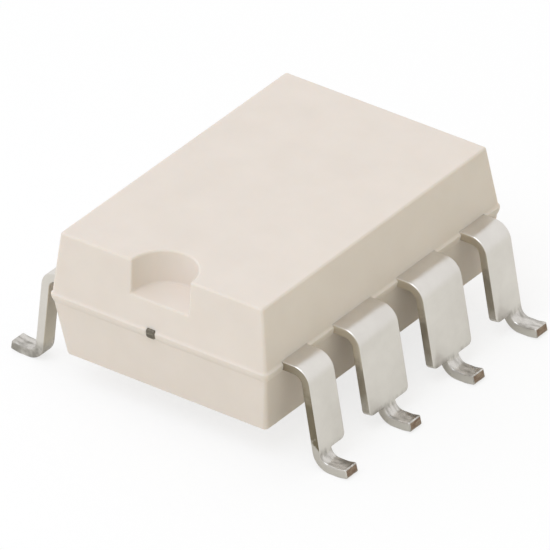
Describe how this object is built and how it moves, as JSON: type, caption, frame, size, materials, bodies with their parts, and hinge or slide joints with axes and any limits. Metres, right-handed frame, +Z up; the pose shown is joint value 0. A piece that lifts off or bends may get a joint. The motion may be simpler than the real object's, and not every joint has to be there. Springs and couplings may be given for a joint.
{
  "type": "optocoupler",
  "caption": "Surface-mount optocoupler: a cream moulded dual-in-line body with an index notch and formed gull-wing leads, with emitters and detectors under clear gel inside.",
  "frame": {"origin": "centre of the footprint on the seating plane that the feet rest on", "axes": "+X across the lead rows towards the row of the first lead, +Y along the body away from the index notch, +Z up"},
  "size_m": [0.0102, 0.0094, 0.0043],
  "materials": {
    "mould": "cream moulding compound, matte",
    "tinned_lead": "satin tin plate",
    "cut_metal": "sheared copper, dull",
    "die_bond": "silver-filled adhesive, matte",
    "emitter_die": "polished semiconductor",
    "detector_die": "polished semiconductor",
    "gold_wire": "drawn gold wire, bright",
    "clear_gel": "clear soft gel"
  },
  "bodies": {
    "root": {"body": "mould", "lead_1": "tinned_lead", "lead_2": "tinned_lead", "lead_3": "tinned_lead", "lead_4": "tinned_lead", "lead_5": "tinned_lead", "lead_6": "tinned_lead", "lead_7": "tinned_lead", "lead_8": "tinned_lead", "tie_bar_front": "cut_metal", "tie_bar_rear": "cut_metal", "emitter_bond_a": "die_bond", "emitter_bond_b": "die_bond", "detector_bond_a": "die_bond", "detector_bond_b": "die_bond", "emitter_die_a": "emitter_die", "emitter_die_b": "emitter_die", "detector_die_a": "detector_die", "detector_die_b": "detector_die", "emitter_wire_a": "gold_wire", "emitter_wire_b": "gold_wire", "detector_wire_a": "gold_wire", "detector_wire_b": "gold_wire", "gel_dome_a": "clear_gel", "gel_dome_b": "clear_gel"}
  },
  "joints": []
}
